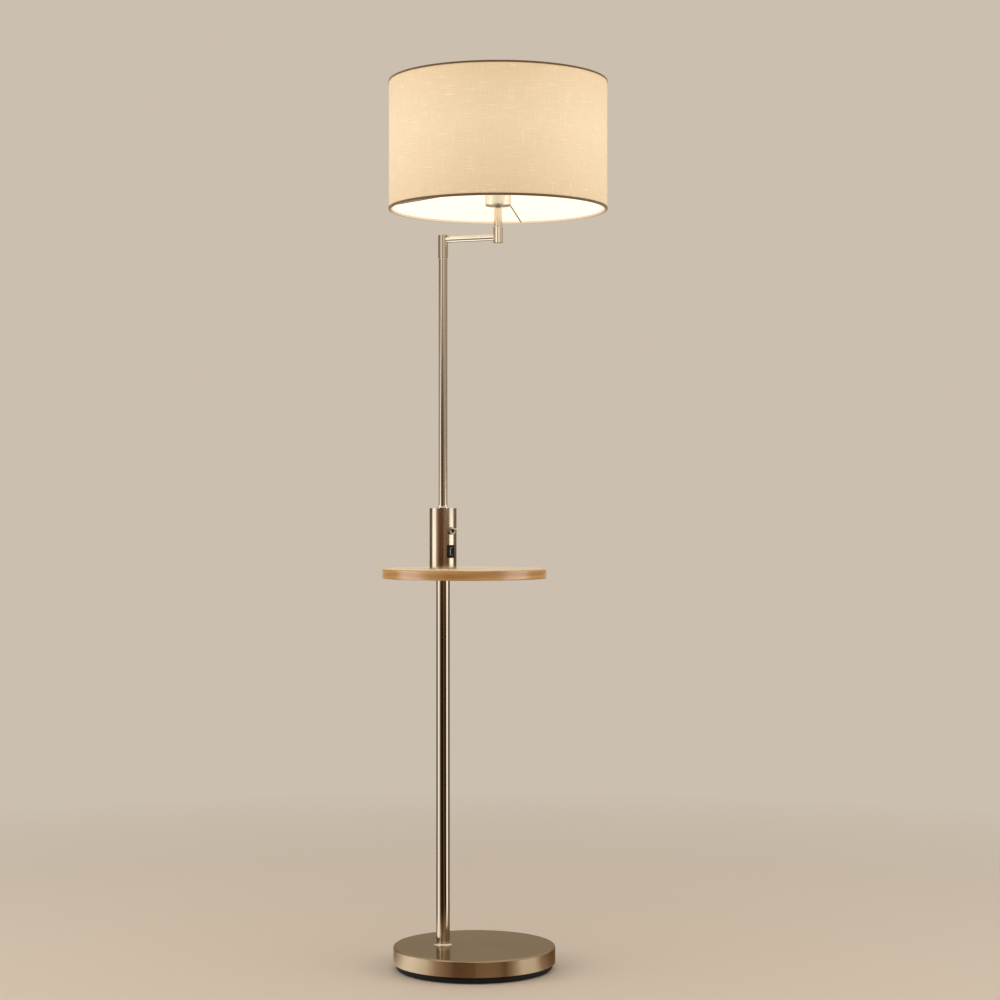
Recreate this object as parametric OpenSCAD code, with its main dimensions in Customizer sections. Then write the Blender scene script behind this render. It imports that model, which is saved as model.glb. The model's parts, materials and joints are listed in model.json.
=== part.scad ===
// Floor lamp with a round table: a weighted base, a two-part pole, a small table with a switch and a
// charging socket in a round housing above it, and a drum shade on a short arm that swings.
// The origin is the centre of the underside. +Z is up, +X is the side that the table and the arm
// stand out to, and -Y is the front. Millimetres and degrees.

/* [Base] */
// Outside diameter of the round base
base_d = 300; // [260:1:340]
// Height of the base's metal side
base_h = 30; // [24:1:40]
// Sheet thickness of the spun base cover
base_sheet = 1.5; // [1:0.1:2]
// Radius of the base cover's top edge
base_edge_r = 3; // [3:0.5:8]
// Thickness of the black plate that closes the base from below
plate_h = 10; // [5:0.5:12]
// How far the plate stands back from the base's side
plate_inset = 6; // [3:0.5:12]
// Thickness of the felt pad that the lamp stands on
pad_h = 2.5; // [1:0.5:4]
// How far the pad stands back from the plate's edge
pad_inset = 1.5; // [1:0.5:8]
// Distance from the base's centre to the pole
pole_offset = 58; // [30:1:80]
// Diameter of the pocket round the nut under the base
pocket_d = 34; // [32:1:44]
// Depth of that pocket
pocket_h = 13; // [12:0.5:16]

/* [Plate screws] */
// Number of screws that hold the plate
plate_screw_count = 4; // [3:1:6]
// Thread diameter of a plate screw
plate_screw_d = 4; // [3:0.5:5]
// Head diameter of a plate screw
plate_screw_head_d = 8; // [7:0.5:10]
// Length of a plate screw below its head
plate_screw_l = 18; // [16:1:22]
// How far the screws stand in from the plate's edge
plate_screw_inset = 18; // [12:1:24]

/* [Cable inlet] */
// Diameter of the hole for the mains cable
cable_bore_d = 7; // [5:0.5:8]
// Outside diameter of the inlet's body
inlet_d = 10; // [9.5:0.5:12]
// Length of the inlet's body inside the base
inlet_l = 12; // [8:1:20]
// Diameter of the inlet's flange
inlet_flange_d = 14; // [13:0.5:18]
// Thickness of the inlet's flange
inlet_flange_h = 2; // [1:0.5:4]
// Angle of the inlet round the base, counted from the right
inlet_angle = 110; // [100:1:125]
// Height of the inlet above the base cover's lower edge
inlet_rise = 8; // [7:0.5:10]

/* [Threaded tubes and nuts] */
// Outside diameter of the threaded tubes
thread_d = 10; // [9:0.5:11]
// Bore of the threaded tubes
thread_bore_d = 7; // [5:0.5:7.5]
// Width of the nuts across their flats
nut_width = 17; // [15:0.5:19]
// Thickness of the nuts
nut_h = 6; // [4:0.5:7]
// Diameter of the washer under the base's nut
washer_d = 28; // [22:1:30]
// Thickness of that washer
washer_h = 2; // [1:0.5:3]
// Length of the plugs in the ends of the lower pole
lower_plug_l = 22; // [14:1:40]
// Length of the plugs in the ends of the upper pole
upper_plug_l = 18; // [12:1:30]

/* [Lower pole] */
// Diameter of the lower pole
lower_pole_d = 25; // [22:0.5:30]
// Wall of the lower pole
lower_pole_wall = 1.2; // [1:0.1:2]
// Length of the lower pole
lower_pole_l = 679; // [400:1:900]
// Widest diameter of the collar on the base
foot_collar_d = 34; // [32:0.5:44]
// Height of the collar on the base
foot_collar_h = 8; // [5:0.5:12]

/* [Table] */
// Diameter of the table top
table_d = 305; // [240:1:380]
// Thickness of the table top
table_h = 18; // [14:1:28]
// Radius of the table top's edges
table_edge_r = 1.5; // [0.5:0.5:4]
// Distance from the pole to the table top's centre
table_offset = 39.5; // [34:0.5:90]
// Depth of the recess in the table top that the housing stands in
recess_h = 1; // [0.5:0.5:3]

/* [Housing] */
// Diameter of the housing on the table
housing_d = 50; // [48:1:60]
// Wall of the housing
housing_wall = 1.5; // [1:0.1:2]
// Height of the housing
housing_h = 113; // [103:1:160]
// Thickness of the discs that close the housing's ends
disc_h = 3; // [2:0.5:5]
// Widest diameter of the collar on the housing
top_collar_d = 22; // [22:0.5:30]
// Height of the collar on the housing
top_collar_h = 5; // [4:0.5:10]

/* [Switch] */
// Angle of the switch and the socket, from the front towards the right
control_angle = 37; // [0:1:60]
// Height of the switch above the table
switch_rise = 70; // [64:1:80]
// Thread diameter of the switch's bush
bush_d = 11; // [10:0.5:12]
// Bore of the bush
bush_bore_d = 8; // [7:0.5:8.5]
// How far the bush stands out of the housing
bush_out = 6; // [5:0.5:8]
// Diameter of the ring nut on the bush
ring_nut_d = 14; // [13.5:0.5:18]
// How far the ring nut stands out of the housing
ring_nut_out = 5; // [4:0.5:7]
// Number of grooves round the ring nut
ring_nut_grooves = 24; // [12:2:36]
// Diameter of the lever's round end
lever_d = 4.6; // [4:0.2:6]
// Diameter of the lever where it leaves the bush
lever_neck_d = 2.8; // [2:0.2:3.4]
// Length of the lever from its pivot
lever_l = 19; // [16:1:24]
// How far the lever leans up or down from the middle
lever_tilt = 10; // [6:1:12]
// Width of the switch's body
switch_body_w = 13; // [12:0.5:16]
// Height of the switch's body
switch_body_h = 22; // [16:1:28]
// Depth of the switch's body
switch_body_l = 12; // [8:0.5:12.5]

/* [Charging socket] */
// Height of the socket's middle above the table
socket_rise = 32; // [28:1:38]
// Width of the black frame round the socket
frame_w = 16.5; // [15:0.5:18]
// Height of the black frame round the socket
frame_h = 24; // [20:0.5:28]
// How far the frame stands out of the housing
frame_out = 0.9; // [0.5:0.1:2]
// How far the frame's edge overlaps the housing
frame_lip = 0.8; // [0.5:0.1:1.5]
// Width of the slot that a plug goes into
slot_w = 5.1; // [4.8:0.1:5.6]
// Height of the slot that a plug goes into
slot_h = 12.5; // [12:0.1:13]
// Depth of the slot
slot_l = 12; // [10:0.5:12.5]
// Sheet thickness of the socket's metal shell
shell_sheet = 0.4; // [0.3:0.1:0.6]
// Thickness of the tongue in the slot
tongue_w = 1.8; // [1.4:0.1:2.2]
// Height of the tongue in the slot
tongue_h = 11; // [9:0.5:11.5]
// Width of the power unit behind the socket
unit_w = 18; // [14:0.5:20]
// Height of the power unit behind the socket
unit_h = 30; // [24:1:34]
// Depth of the power unit behind the socket
unit_l = 12; // [9:0.5:12.5]

/* [Upper pole] */
// Diameter of the upper pole
upper_pole_d = 16; // [15:0.5:19]
// Wall of the upper pole
upper_pole_wall = 1.2; // [1:0.1:1.5]
// Length of the upper pole
upper_pole_l = 461.5; // [300:0.5:600]

/* [Swing arm] */
// Distance between the arm's two upright axes
arm_reach = 110; // [80:1:220]
// Angle of the resting arm towards the front
arm_angle = 22; // [0:1:45]
// Diameter of the arm
arm_d = 11.5; // [10:0.5:13]
// Wall of the arm
arm_wall = 1.2; // [0.8:0.1:1.6]
// Diameter of the knuckle on the pole
knuckle_d = 18; // [17:0.5:24]
// Height of the knuckle on the pole
knuckle_h = 43; // [41:1:60]
// Distance from the arm's middle to the knuckle's top
knuckle_above = 9; // [8:0.5:14]
// Diameter of the sleeve under the shade
sleeve_d = 17.5; // [17:0.5:24]
// Height of the sleeve above the arm's middle
sleeve_above = 20; // [19:1:30]
// Depth of the sleeve below the arm's middle
sleeve_below = 10; // [8:0.5:16]
// Length of the spigots that enter the arm's ends
spigot_l = 14; // [10:1:20]
// Diameter of the screw near the arm's end
arm_screw_d = 3; // [2.5:0.5:4]

/* [Pivots] */
// Diameter of the pivot pins
pivot_d = 11; // [10:0.5:11.5]
// Bore of the pivot pins, for the leads
pivot_bore_d = 5.5; // [4:0.5:6]
// Length of the pivot pin in the knuckle
arm_pivot_l = 22; // [18:1:24]
// Length of the pivot pin in the sleeve
shade_pivot_l = 12; // [11:0.5:12.5]
// Depth of the groove round a pivot pin
groove_depth = 1.3; // [0.8:0.1:1.4]
// Angle that the stop rib takes up in the groove
stop_angle = 16; // [8:1:24]
// Diameter of the screws that ride in the grooves
stop_screw_d = 4; // [3:0.5:4]
// Thickness of the sliding washers
slide_washer_h = 0.8; // [0.5:0.1:1.5]

/* [Lampholder and bulb] */
// Diameter of the upright tube under the lampholder
stub_d = 15; // [14.5:0.5:18]
// Wall of that tube
stub_wall = 1.2; // [1:0.1:1.5]
// Length of that tube
stub_l = 32; // [30:1:60]
// Length of thread that shows between the tube and the cup
neck_h = 4.5; // [3:0.5:12]
// Diameter of the lampholder's cup
cup_d = 47; // [44:0.5:54]
// Height of the lampholder's cup
cup_h = 28; // [24:1:36]
// Wall of the cup
cup_wall = 1; // [0.8:0.1:1.5]
// Radius of the cup's lower edge
cup_edge_r = 2; // [2:0.5:6]
// Diameter of the lampholder's threaded barrel
barrel_d = 40; // [38:0.5:41]
// Height of the barrel above the cup
barrel_up = 26; // [20:1:34]
// Diameter of the ring nut that clamps the shade
clamp_nut_d = 54; // [50:1:60]
// Thickness of the ring nut that clamps the shade
clamp_nut_h = 8; // [5:0.5:12]
// Diameter of the bulb's screw cap
cap_d = 26.4; // [25:0.1:27]
// Height of the bulb's screw cap
cap_h = 24; // [20:1:26]
// Diameter of the bulb
bulb_d = 60; // [45:1:80]
// Length of the bulb above its cap
bulb_l = 84; // [76:1:100]

/* [Shade] */
// Diameter of the shade
shade_d = 400; // [300:1:480]
// Height of the shade
shade_h = 236; // [180:1:300]
// Height of the hub ring above the shade's lower edge
hub_rise = 37.5; // [20:0.5:60]
// Thickness of the outer fabric
fabric_h = 0.8; // [0.5:0.1:1.5]
// Thickness of the white lining
lining_h = 0.8; // [0.5:0.1:1.5]
// Thickness of the binding round each edge
binding_sheet = 0.6; // [0.4:0.1:1.2]
// Height of the binding round each edge
binding_h = 5; // [4.5:0.5:10]
// Wire diameter of the shade's rings
ring_wire_d = 3.5; // [2.5:0.1:3.8]
// Wire diameter of the shade's three arms
spider_wire_d = 2.6; // [2:0.1:3]
// Diameter of the hub ring
hub_d = 56; // [50:1:64]
// Thickness of the hub ring
hub_h = 2; // [1.2:0.1:3]
// Angle of the first shade arm, counted from the right
spider_angle = 77; // [0:1:119]

/* [Fits] */
// Radial clearance of a screw, a threaded tube or a plug in its hole
fit_gap = 0.05; // [0.03:0.01:0.1]
// Radial clearance of a turning pivot
pivot_gap = 0.05; // [0.02:0.01:0.08]
// Clearance between faces that slide on each other
slide_gap = 0.05; // [0.03:0.01:0.1]
// Radial clearance of a through hole round a threaded tube
hole_gap = 0.3; // [0.1:0.05:0.5]
// Clearance between the layers of the shade
layer_gap = 0.05; // [0.03:0.01:0.1]

/* [Hidden] */
$fn = 96;

// How far a cutting shape runs past the face that it cuts.
past = 1;
// Small chamfer on turned edges.
chamfer = 0.6;
// Sheet thickness of the spun collars.
collar_sheet = 0.8;

// Heights, from the floor up.
plate_z = pad_h;
cover_z = plate_z + plate_h;
base_top_z = cover_z + base_h;
pocket_z = cover_z + pocket_h;
washer_z = pocket_z - washer_h;
nut_z = washer_z - nut_h;
table_z = base_top_z + lower_pole_l;
table_top_z = table_z + table_h;
housing_z = table_top_z - recess_h;
housing_top_z = housing_z + housing_h;
pole_top_z = housing_top_z + upper_pole_l;
knuckle_z = pole_top_z + slide_washer_h + slide_gap;
arm_z = knuckle_z + knuckle_h - knuckle_above;
sleeve_z = arm_z - sleeve_below;
sleeve_top_z = arm_z + sleeve_above;
stub_z = sleeve_top_z + slide_washer_h + slide_gap;
stub_top_z = stub_z + stub_l;
cup_z = stub_top_z + neck_h;
cup_top_z = cup_z + cup_h;
flange_h = 2;
hub_z = cup_top_z + flange_h;
clamp_nut_z = hub_z + hub_h;
shade_z = hub_z - hub_rise;
shade_top_z = shade_z + shade_h;

// Radii and places.
base_r = base_d / 2;
pole_x = -pole_offset;
table_x = pole_x + table_offset;
housing_r = housing_d / 2;
housing_bore_r = housing_r - housing_wall;
plate_r = base_r - plate_inset;
weight_r = base_r - base_sheet - hole_gap;
hole_r = thread_d / 2 + hole_gap;
tapped_r = thread_d / 2 + fit_gap;
shade_x = pole_x + arm_reach * cos(arm_angle);
shade_y = -arm_reach * sin(arm_angle);
shade_r = shade_d / 2;

// The cable's way under the base, from the pocket to the inlet.
inlet_x = base_r * cos(inlet_angle);
inlet_y = base_r * sin(inlet_angle);
channel_side = 1;
channel_w = inlet_d + 2 * channel_side;
channel_l = norm([inlet_x - pole_x, inlet_y]);
channel_angle = atan2(inlet_y, inlet_x - pole_x);
channel_h = inlet_rise + inlet_d / 2 + fit_gap;

// Screws under the base.
plate_screw_r = plate_r - plate_screw_inset;
plate_screw_head_h = (plate_screw_head_d - plate_screw_d) / 2;
plate_screw_turn = 45;

// The toggle switch, measured outwards from the pole's axis.
lever_pivot_r = housing_r - 1;
bush_inset = 4.5;
bush_start_r = housing_bore_r - bush_inset;
bush_end_r = housing_r + bush_out;
ring_nut_end_r = housing_r + ring_nut_out;
switch_z = table_top_z + switch_rise;
lever_ball_d = bush_bore_d - 2 * pivot_gap;
lever_tip_l = 8;
groove_d = 0.9;

// The charging socket.
socket_z = table_top_z + socket_rise;
frame_cut_w = frame_w - 2 * frame_lip;
frame_cut_h = frame_h - 2 * frame_lip;
frame_end_r = housing_r + frame_out;
frame_corner_r = 1.5;
slot_start_r = housing_r - slot_l;
shell_w = slot_w + 2 * shell_sheet;
shell_h = slot_h + 2 * shell_sheet;
shell_back = 1;
unit_inset = 3.5;
unit_end_r = housing_bore_r - unit_inset;
tongue_back = 1.5;
tongue_l = slot_l - tongue_back;
contact_inset = 1;
contact_w = 0.3;
contact_h = 1;
contact_pitch = 2.4;
contact_count = 4;

// The arm's knuckle and sleeve.
pivot_hole_r = pivot_d / 2 + pivot_gap;
lead_bore_r = 4;
spigot_r = arm_d / 2 - arm_wall - fit_gap;
spigot_bore_r = 2.8;
groove_r = pivot_d / 2 - groove_depth;
groove_play = 0.2;
slide_washer_inset = 0.2;
groove_w = stop_screw_d + 2 * groove_play;
stop_screw_tip_r = groove_r + groove_play;
stop_screw_rise = 11;
stop_screw_drop = 6;
stop_screw_sunk = 0.3;
screw_socket_w = 2;
screw_socket_h = 1.5;
arm_screw_start_r = spigot_bore_r + 0.4;
arm_screw_along = knuckle_d / 2 + 3.5;
arm_screw_lift = 50;

// The lampholder.
stub_root_l = 14;
stub_plug_l = 10;
holder_thread_z = stub_top_z - stub_plug_l;
cup_r = cup_d / 2;
barrel_r = barrel_d / 2;
barrel_z = cup_z + cup_wall + nut_h;
barrel_floor_h = 3;
barrel_bore_r = 14;
contact_z = barrel_z + barrel_floor_h;
contact_space = 2;
clamp_groove_count = 12;
clamp_groove_d = 5;

// The bulb. Its neck meets the round part this many degrees below the middle.
cap_z = contact_z + contact_space;
cap_r = cap_d / 2;
cap_tip_r = 4;
cap_tip_h = 2;
cap_shoulder_h = 3;
cap_turns = 6;
cap_thread_r = 1.6;
neck_z = cap_z + cap_tip_h + cap_h + fit_gap;
neck_r = cap_r - 0.4;
neck_step = 7.5;
neck_angle = 38;
bulb_r = bulb_d / 2;
globe_z = neck_z + bulb_l - bulb_r;
neck_top_r = bulb_r * cos(neck_angle);
neck_top_z = globe_z - bulb_r * sin(neck_angle);

// The shade's layers, from the outside in.
lining_r = shade_r - fabric_h - layer_gap;
lining_bore_r = lining_r - lining_h;
ring_wire_r = ring_wire_d / 2;
ring_r = lining_bore_r - layer_gap - ring_wire_r;
binding_r = shade_r + layer_gap + binding_sheet;
binding_bore_r = ring_r - ring_wire_r - layer_gap - binding_sheet;
lower_ring_z = shade_z + binding_sheet + layer_gap + ring_wire_r;
upper_ring_z = shade_top_z - binding_sheet - layer_gap - ring_wire_r;
spider_count = 3;
weld_gap = 0.02;

satin = "#b9ab9a";
steel = "#a8a49c";
bright = "#d8d2c8";
black = "#1d1b1a";
white = "#f4efe6";

// ---- Shared shapes ----

module ring(outer_r, inner_r, height) {
    difference() {
        cylinder(r = outer_r, h = height);
        translate([0, 0, -past]) cylinder(r = inner_r, h = height + 2 * past);
    }
}

module hexagon(width, height) {
    cylinder(d = width / cos(30), h = height, $fn = 6);
}

module nut(width, bore_r, height) {
    difference() {
        intersection() {
            hexagon(width, height);
            // The turned corners of a hexagon nut.
            cylinder(r1 = width / 2 / cos(30) - height / 4, r2 = width / 2 / cos(30) + height, h = height);
        }
        translate([0, 0, -past]) cylinder(r = bore_r, h = height + 2 * past);
    }
}

// Half section of a disc whose outer edge is rounded at the top.
module top_rounded_section(r, h, edge_r) {
    square([r - edge_r, h]);
    square([r, h - edge_r]);
    translate([r - edge_r, h - edge_r]) circle(r = edge_r);
}

// Half section of a disc whose outer edges are rounded at the top and the bottom.
module rounded_section(r, h, edge_r) {
    square([r - edge_r, h]);
    translate([0, edge_r]) square([r, h - 2 * edge_r]);
    translate([r - edge_r, edge_r]) circle(r = edge_r);
    translate([r - edge_r, h - edge_r]) circle(r = edge_r);
}

// A turned bar with a small chamfer at each end.
module turned_bar(r, h) {
    rotate_extrude() polygon([
        [0, 0], [r - chamfer, 0], [r, chamfer],
        [r, h - chamfer], [r - chamfer, h], [0, h]
    ]);
}

// A spun collar: its neck hugs the pole and sweeps out below, in a hollow curve, to a thin lip.
module flared_collar(pole_d, wide_d, height) {
    hug_r = pole_d / 2 + fit_gap;
    neck_r = hug_r + collar_sheet;
    cove_r = min(wide_d / 2 - neck_r, height - collar_sheet);
    rotate_extrude() difference() {
        translate([hug_r, 0]) square([wide_d / 2 - hug_r, height]);
        translate([neck_r + cove_r, collar_sheet + cove_r]) circle(r = cove_r);
        translate([neck_r + cove_r, collar_sheet]) square([wide_d, height]);
        translate([neck_r, collar_sheet + cove_r]) square([wide_d, height]);
    }
}

module on_pole(z) {
    translate([pole_x, 0, z]) children();
}

// +X points outwards through the switch and the socket.
module at_control(z) {
    on_pole(z) rotate([0, 0, control_angle - 90]) children();
}

// +X points along the resting arm, from the pole's axis to the shade's axis.
module on_arm(z) {
    on_pole(z) rotate([0, 0, -arm_angle]) children();
}

// The shade's axis. +X points as it does on the resting arm.
module on_shade(z) {
    translate([shade_x, shade_y, z]) rotate([0, 0, -arm_angle]) children();
}

// +Z points outwards through the cable inlet, from the base's side.
module at_inlet() {
    translate([inlet_x, inlet_y, cover_z + inlet_rise]) rotate([0, 90, inlet_angle]) children();
}

module at_plate_screws() {
    for (i = [0:plate_screw_count - 1])
        rotate([0, 0, plate_screw_turn + i * 360 / plate_screw_count])
            translate([plate_screw_r, 0, plate_z])
                children();
}

// ---- Base ----

module foot_pad() {
    color("#141313") cylinder(r = plate_r - pad_inset, h = pad_h);
}

module bottom_plate() {
    color(black) difference() {
        translate([0, 0, plate_z])
            rotate_extrude() polygon([
                [0, 0], [plate_r - chamfer, 0], [plate_r, chamfer], [plate_r, plate_h], [0, plate_h]
            ]);
        at_plate_screws() {
            translate([0, 0, -past]) cylinder(d = plate_screw_d + 2 * hole_gap, h = plate_h + 2 * past);
            cylinder(
                d1 = plate_screw_head_d + 2 * hole_gap,
                d2 = plate_screw_d + 2 * hole_gap,
                h = plate_screw_head_h
            );
        }
    }
}

module plate_screws() {
    color(steel) at_plate_screws() difference() {
        union() {
            cylinder(d1 = plate_screw_head_d, d2 = plate_screw_d, h = plate_screw_head_h);
            cylinder(d = plate_screw_d, h = plate_screw_l);
        }
        translate([0, 0, -past]) hexagon(plate_screw_d * 0.6, past + plate_screw_head_h);
    }
}

module base_weight() {
    weight_h = base_h - base_sheet;
    color("#8d8a84") difference() {
        translate([0, 0, cover_z]) rotate_extrude()
            top_rounded_section(weight_r, weight_h, base_edge_r);
        on_pole(cover_z - past) cylinder(r = hole_r, h = weight_h + 2 * past);
        on_pole(cover_z - past) cylinder(d = pocket_d, h = pocket_h + past);
        on_pole(cover_z - past) rotate([0, 0, channel_angle])
            translate([0, -channel_w / 2, 0]) cube([channel_l + past, channel_w, channel_h + past]);
        at_inlet() translate([0, 0, -inlet_l - hole_gap])
            cylinder(d = inlet_d + 2 * hole_gap, h = inlet_l + hole_gap + past);
        at_plate_screws()
            cylinder(d = plate_screw_d + 2 * fit_gap, h = plate_screw_l + past);
    }
}

module base_cover() {
    color(satin) difference() {
        translate([0, 0, cover_z]) rotate_extrude() difference() {
            top_rounded_section(base_r, base_h, base_edge_r);
            translate([0, -past])
                top_rounded_section(
                    base_r - base_sheet, base_h - base_sheet + past, base_edge_r - base_sheet
                );
        }
        on_pole(cover_z) cylinder(r = hole_r, h = base_h + past);
        at_inlet() translate([0, 0, -inlet_l]) cylinder(d = inlet_d + 2 * fit_gap, h = inlet_l + past);
    }
}

module cable_inlet() {
    color(black) at_inlet() difference() {
        union() {
            translate([0, 0, -inlet_l]) cylinder(d = inlet_d, h = inlet_l + inlet_flange_h);
            translate([0, 0, fit_gap]) rotate_extrude()
                top_rounded_section(inlet_flange_d / 2, inlet_flange_h - fit_gap, inlet_flange_h / 2);
        }
        translate([0, 0, -inlet_l - past])
            cylinder(d = cable_bore_d, h = inlet_l + inlet_flange_h + 2 * past);
    }
}

module base_washer() {
    color(steel) on_pole(washer_z) ring(washer_d / 2, hole_r, washer_h);
}

module base_nut() {
    color(steel) on_pole(nut_z) nut(nut_width, tapped_r, nut_h);
}

module base_thread() {
    start_z = nut_z - past;
    color(steel) on_pole(start_z)
        ring(thread_d / 2, thread_bore_d / 2, base_top_z + lower_plug_l - start_z);
}

module foot_collar() {
    color(bright) on_pole(base_top_z) flared_collar(lower_pole_d, foot_collar_d, foot_collar_h);
}

// ---- Lower pole and table ----

module lower_pole() {
    color(satin) on_pole(base_top_z)
        ring(lower_pole_d / 2, lower_pole_d / 2 - lower_pole_wall, lower_pole_l);
}

module lower_plug() {
    color(steel) ring(lower_pole_d / 2 - lower_pole_wall - fit_gap, tapped_r, lower_plug_l);
}

module pole_foot_plug() {
    on_pole(base_top_z) lower_plug();
}

module pole_head_plug() {
    on_pole(table_z - lower_plug_l) lower_plug();
}

module table_thread() {
    start_z = table_z - lower_plug_l;
    color(steel) on_pole(start_z)
        ring(thread_d / 2, thread_bore_d / 2, housing_top_z + upper_plug_l - start_z);
}

module table_top() {
    color("#c79a63") difference() {
        translate([table_x, 0, table_z]) rotate_extrude()
            rounded_section(table_d / 2, table_h, table_edge_r);
        on_pole(table_z - past) cylinder(r = hole_r, h = table_h + 2 * past);
        on_pole(housing_z) cylinder(r = housing_r + fit_gap, h = recess_h + past);
    }
}

// ---- Housing ----

module housing_disc() {
    color(steel) ring(housing_bore_r - fit_gap, hole_r, disc_h);
}

module housing_floor() {
    on_pole(housing_z) housing_disc();
}

module housing_lid() {
    color(satin) on_pole(housing_top_z - disc_h) ring(housing_bore_r - fit_gap, hole_r, disc_h);
}

module housing_nut() {
    color(steel) on_pole(housing_z + disc_h) nut(nut_width, tapped_r, nut_h);
}

module housing_tube() {
    color(satin) difference() {
        on_pole(housing_z) ring(housing_r, housing_bore_r, housing_h);
        at_control(switch_z) rotate([0, 90, 0])
            cylinder(d = bush_d + 2 * fit_gap, h = bush_end_r);
        at_control(socket_z) translate([0, -frame_cut_w / 2, -frame_cut_h / 2])
            cube([housing_d, frame_cut_w, frame_cut_h]);
    }
}

module top_collar() {
    color(bright) on_pole(housing_top_z) flared_collar(upper_pole_d, top_collar_d, top_collar_h);
}

// ---- Switch ----

module switch_body() {
    color(black) at_control(switch_z)
        translate([bush_start_r - switch_body_l, -switch_body_w / 2, -switch_body_h / 2])
            cube([switch_body_l, switch_body_w, switch_body_h]);
}

module switch_bush() {
    color(steel) at_control(switch_z) rotate([0, 90, 0])
        translate([0, 0, bush_start_r]) ring(bush_d / 2, bush_bore_d / 2, bush_end_r - bush_start_r);
}

module switch_ring_nut() {
    color(bright) at_control(switch_z) difference() {
        rotate([0, 90, 0]) difference() {
            turned_bar(ring_nut_d / 2, ring_nut_end_r);
            translate([0, 0, -past]) cylinder(d = bush_d + 2 * fit_gap, h = bush_end_r + past);
            for (i = [0:ring_nut_grooves - 1])
                rotate([0, 0, i * 360 / ring_nut_grooves])
                    translate([ring_nut_d / 2 + groove_d / 4, 0, past])
                        cylinder(d = groove_d, h = ring_nut_end_r - 2 * past);
        }
        // The back is hollowed to sit on the round housing.
        translate([0, 0, -ring_nut_d]) cylinder(r = housing_r + slide_gap, h = 2 * ring_nut_d);
    }
}

module switch_lever() {
    neck_l = lever_l - lever_tip_l;
    color("#4a4440") at_control(switch_z) translate([lever_pivot_r, 0, 0])
        rotate([0, 90 - lever_tilt, 0]) rotate_extrude() difference() {
            union() {
                circle(d = lever_ball_d);
                square([lever_neck_d / 2, neck_l]);
                polygon([
                    [0, neck_l - lever_tip_l / 2], [lever_neck_d / 2, neck_l - lever_tip_l / 2],
                    [lever_d / 2, lever_l - lever_d / 2], [0, lever_l - lever_d / 2]
                ]);
                translate([0, lever_l - lever_d / 2]) circle(d = lever_d);
            }
            translate([-lever_l, -lever_l]) square([lever_l, 3 * lever_l]);
        }
}

// ---- Charging socket ----

module frame_block(w, h) {
    r = frame_corner_r;
    rotate([90, 0, 90]) linear_extrude(housing_d) {
        square([w - 2 * r, h], center = true);
        square([w, h - 2 * r], center = true);
        for (y = [-1, 1], z = [-1, 1])
            translate([y * (w / 2 - r), z * (h / 2 - r)]) circle(r = r);
    }
}

module socket_frame() {
    color(black) at_control(socket_z) difference() {
        union() {
            // The lip, curved like the housing that it lies on.
            intersection() {
                frame_block(frame_w, frame_h);
                translate([0, 0, -frame_h / 2 - past])
                    ring(frame_end_r, housing_r + slide_gap, frame_h + 2 * past);
            }
            // The body, which goes through the housing's wall.
            intersection() {
                translate([unit_end_r, fit_gap - frame_cut_w / 2, fit_gap - frame_cut_h / 2])
                    cube([housing_d, frame_cut_w - 2 * fit_gap, frame_cut_h - 2 * fit_gap]);
                translate([0, 0, -frame_h / 2]) cylinder(r = housing_r + slide_gap, h = frame_h);
            }
        }
        translate([0, -shell_w / 2 - fit_gap, -shell_h / 2 - fit_gap])
            cube([housing_d, shell_w + 2 * fit_gap, shell_h + 2 * fit_gap]);
    }
}

module socket_shell() {
    color(bright) at_control(socket_z) translate([slot_start_r - shell_back, 0, 0]) difference() {
        translate([0, -shell_w / 2, -shell_h / 2]) cube([slot_l + shell_back, shell_w, shell_h]);
        translate([shell_back, -slot_w / 2, -slot_h / 2]) cube([slot_l + past, slot_w, slot_h]);
    }
}

module socket_tongue() {
    color(white) at_control(socket_z) translate([slot_start_r, -tongue_w / 2, -tongue_h / 2])
        cube([tongue_l, tongue_w, tongue_h]);
}

module socket_contacts() {
    color("#c9a24a") at_control(socket_z)
        for (i = [0:contact_count - 1])
            translate([
                slot_start_r + contact_inset, tongue_w / 2,
                (i - (contact_count - 1) / 2) * contact_pitch - contact_h / 2
            ])
                cube([tongue_l - 2 * contact_inset, contact_w, contact_h]);
}

module power_unit() {
    color("#2b2a29") at_control(socket_z) difference() {
        translate([unit_end_r - unit_l, -unit_w / 2, -unit_h / 2]) cube([unit_l, unit_w, unit_h]);
        translate([slot_start_r - shell_back - fit_gap, -shell_w / 2 - fit_gap, -shell_h / 2 - fit_gap])
            cube([housing_d, shell_w + 2 * fit_gap, shell_h + 2 * fit_gap]);
    }
}

// ---- Upper pole and swing arm ----

module upper_pole_plug() {
    color(steel) on_pole(housing_top_z)
        ring(upper_pole_d / 2 - upper_pole_wall - fit_gap, tapped_r, upper_plug_l);
}

module upper_pole() {
    color(satin) on_pole(housing_top_z)
        ring(upper_pole_d / 2, upper_pole_d / 2 - upper_pole_wall, upper_pole_l);
}

// A pivot pin standing on z = 0, with the root that fills its tube below. The groove round it is
// broken by a rib, which stops the screw that rides in the groove.
module pivot_pin(root_r, root_l, pin_l, groove_z, rib_angle) {
    difference() {
        union() {
            translate([0, 0, -root_l]) cylinder(r = root_r, h = root_l);
            turned_bar(pivot_d / 2, pin_l);
        }
        translate([0, 0, -root_l - past]) cylinder(d = pivot_bore_d, h = root_l + pin_l + 2 * past);
        translate([0, 0, groove_z - groove_w / 2]) difference() {
            ring(pivot_d, groove_r, groove_w);
            rotate([0, 0, rib_angle - stop_angle / 2]) rotate_extrude(angle = stop_angle)
                square([pivot_d / 2 + past, groove_w]);
        }
    }
}

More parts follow.
